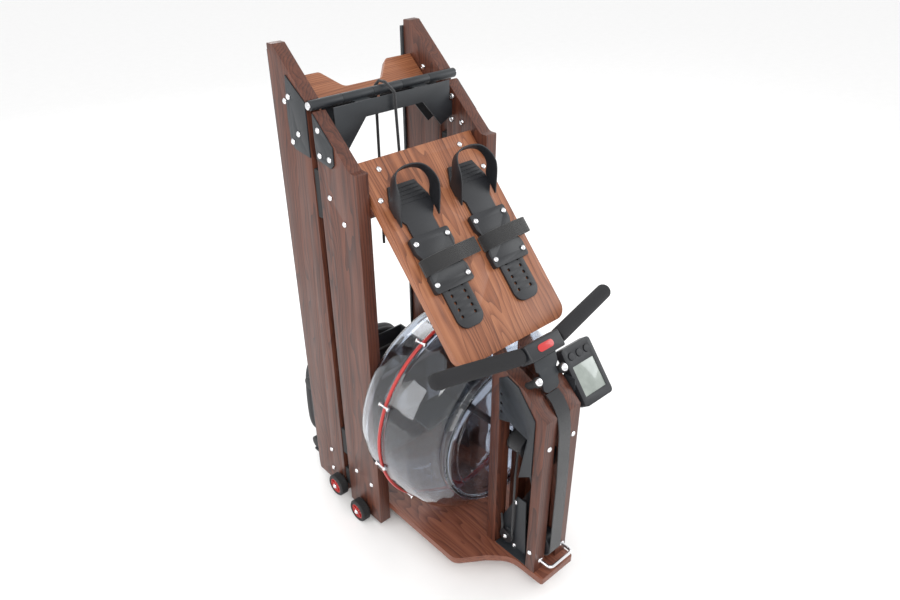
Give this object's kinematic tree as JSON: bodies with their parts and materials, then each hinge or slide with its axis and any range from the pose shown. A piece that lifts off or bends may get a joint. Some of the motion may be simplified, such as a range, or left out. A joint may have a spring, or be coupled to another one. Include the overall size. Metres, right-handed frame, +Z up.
{
  "type": "rowing machine",
  "caption": "Folding wooden water rowing machine stood on end: split hinged rails, clear water tank, footboard with sliding foot plates, strap drive, handle, tilting monitor and rolling seat.",
  "frame": {"origin": "on the floor under the hinge axis, midway between the rails, at the middle foot's underside", "axes": "+Z up as it stands folded, +X along the hinge barrel towards the monitor side, -Y towards the tank and footboard"},
  "size_m": [0.5226, 0.8047, 1.1557],
  "materials": {
    "wood": "satin",
    "black_steel": "satin",
    "chrome": "polished",
    "rubber": "matte",
    "wheel": "matte",
    "clear_tank": "gloss",
    "red_seal": "gloss",
    "black_plastic": "matte",
    "webbing": "matte",
    "upholstery": "satin",
    "display": "gloss"
  },
  "bodies": {
    "front_frame": {"front_rail_left": "wood", "front_rail_right": "wood", "base_board": "wood", "footboard": "wood", "heel_crossbar": "wood", "tank_cradle": "wood", "drive_frame_left": "wood", "drive_frame_right": "wood", "side_plates": "black_steel", "base_bracket": "black_steel", "front_hinge_leaf": "black_steel", "front_cheeks": "black_steel", "drum_bearing": "black_steel", "monitor_bracket": "black_steel", "front_bolts": "chrome", "hinge_pin": "chrome", "tow_handle": "chrome", "tank_clamps": "chrome", "handle_pegs": "chrome", "front_feet": "rubber", "tank_upper_bowl": "clear_tank", "tank_lower_bowl": "clear_tank", "tank_lid": "clear_tank", "tank_seal_ring": "red_seal", "foot_bases": "black_plastic", "foot_straps": "webbing", "shock_cord": "webbing", "drive_strap": "webbing"},
    "handle": {"handle_bar": "black_plastic", "handle_grips": "rubber", "handle_yoke": "black_steel"},
    "monitor": {"monitor_housing": "black_plastic", "monitor_screen": "display"},
    "button_left": {"button_left": "black_plastic"},
    "button_middle": {"button_middle": "black_plastic"},
    "button_right": {"button_right": "black_plastic"},
    "foot_slider_left": {"foot_slider_left": "black_plastic"},
    "foot_slider_right": {"foot_slider_right": "black_plastic"},
    "impeller": {"impeller": "black_plastic"},
    "strap_drum": {"strap_drum": "black_plastic"},
    "strap_pulley": {"strap_pulley": "black_plastic"},
    "guide_pulley": {"guide_pulley": "black_plastic"},
    "front_wheel_left": {"front_wheel_left": "wheel"},
    "front_wheel_right": {"front_wheel_right": "wheel"},
    "rear_wheel_left": {"rear_wheel_left": "wheel"},
    "rear_wheel_right": {"rear_wheel_right": "wheel"},
    "rear_frame": {"rear_rail_left": "wood", "rear_rail_right": "wood", "seat_tracks": "black_steel", "rear_hinge_leaf": "black_steel", "rear_cheeks": "black_steel", "rear_cross_plank": "wood", "rear_end_board": "wood", "rear_bolts": "chrome", "rear_feet": "rubber", "seat_stops": "black_steel"},
    "seat": {"seat_pad": "upholstery", "seat_carriage": "black_steel"},
    "seat_rollers_front": {"seat_rollers_front": "wheel"},
    "seat_rollers_rear": {"seat_rollers_rear": "wheel"}
  },
  "joints": [
    {"name": "rear_fold", "type": "hinge", "parent": "front_frame", "child": "rear_frame", "pos_m": [0, 0, 1.058], "axis": [1, 0, 0], "range_deg": [0, 180]},
    {"name": "seat_slide", "type": "slide", "parent": "rear_frame", "child": "seat", "axis": [0, 0, 1], "range_m": [0, 0.62]},
    {"name": "seat_roller_front_spin", "type": "hinge", "parent": "seat", "child": "seat_rollers_front", "pos_m": [0, 0.15805, 0.298], "axis": [1, 0, 0], "continuous": true},
    {"name": "seat_roller_rear_spin", "type": "hinge", "parent": "seat", "child": "seat_rollers_rear", "pos_m": [0, 0.15805, 0.098], "axis": [1, 0, 0], "continuous": true},
    {"name": "front_wheel_left_spin", "type": "hinge", "parent": "front_frame", "child": "front_wheel_left", "pos_m": [-0.2055, -0.071, 0.03], "axis": [1, 0, 0], "continuous": true},
    {"name": "front_wheel_right_spin", "type": "hinge", "parent": "front_frame", "child": "front_wheel_right", "pos_m": [0.2055, -0.071, 0.03], "axis": [1, 0, 0], "continuous": true},
    {"name": "rear_wheel_left_spin", "type": "hinge", "parent": "rear_frame", "child": "rear_wheel_left", "pos_m": [-0.2055, 0.022, 0.054], "axis": [1, 0, 0], "continuous": true},
    {"name": "rear_wheel_right_spin", "type": "hinge", "parent": "rear_frame", "child": "rear_wheel_right", "pos_m": [0.2055, 0.022, 0.054], "axis": [1, 0, 0], "continuous": true},
    {"name": "handle_pull", "type": "slide", "parent": "front_frame", "child": "handle", "axis": [0, 0, 1], "range_m": [0, 1.1]},
    {"name": "strap_drum_spin", "type": "hinge", "parent": "front_frame", "child": "strap_drum", "pos_m": [0, -0.4315, 0.371], "axis": [0, 1, 0], "continuous": true},
    {"name": "strap_pulley_spin", "type": "hinge", "parent": "front_frame", "child": "strap_pulley", "pos_m": [0, -0.519, 0.13], "axis": [1, 0, 0], "continuous": true},
    {"name": "guide_pulley_spin", "type": "hinge", "parent": "front_frame", "child": "guide_pulley", "pos_m": [-0.0365, -0.432, 0.104], "axis": [1, 0, 0], "continuous": true},
    {"name": "impeller_spin", "type": "hinge", "parent": "front_frame", "child": "impeller", "pos_m": [0, -0.238, 0.371], "axis": [0, 1, 0], "continuous": true},
    {"name": "monitor_tilt", "type": "hinge", "parent": "front_frame", "child": "monitor", "pos_m": [0.0605, -0.498, 0.546], "axis": [1, 0, 0], "range_deg": [-20, 20]},
    {"name": "foot_slider_left_shift", "type": "slide", "parent": "front_frame", "child": "foot_slider_left", "axis": [0, -0.6807, -0.7326], "range_m": [-0.03, 0.026]},
    {"name": "foot_slider_right_shift", "type": "slide", "parent": "front_frame", "child": "foot_slider_right", "axis": [0, -0.6807, -0.7326], "range_m": [-0.03, 0.026]},
    {"name": "button_left_press", "type": "slide", "parent": "monitor", "child": "button_left", "axis": [0, 0.7826, -0.6225], "range_m": [0, 0.0014], "stiffness_N_per_m": 300, "springref_m": -0.001},
    {"name": "button_middle_press", "type": "slide", "parent": "monitor", "child": "button_middle", "axis": [0, 0.7826, -0.6225], "range_m": [0, 0.0014], "stiffness_N_per_m": 300, "springref_m": -0.001},
    {"name": "button_right_press", "type": "slide", "parent": "monitor", "child": "button_right", "axis": [0, 0.7826, -0.6225], "range_m": [0, 0.0014], "stiffness_N_per_m": 300, "springref_m": -0.001}
  ],
  "couplings": [
    {"joint": "seat_roller_front_spin", "follows": "seat_slide", "rad_per_m": 58.824},
    {"joint": "seat_roller_rear_spin", "follows": "seat_slide", "rad_per_m": 58.824},
    {"joint": "strap_drum_spin", "follows": "handle_pull", "rad_per_m": 39.06},
    {"joint": "strap_pulley_spin", "follows": "handle_pull", "rad_per_m": -34.84}
  ]
}
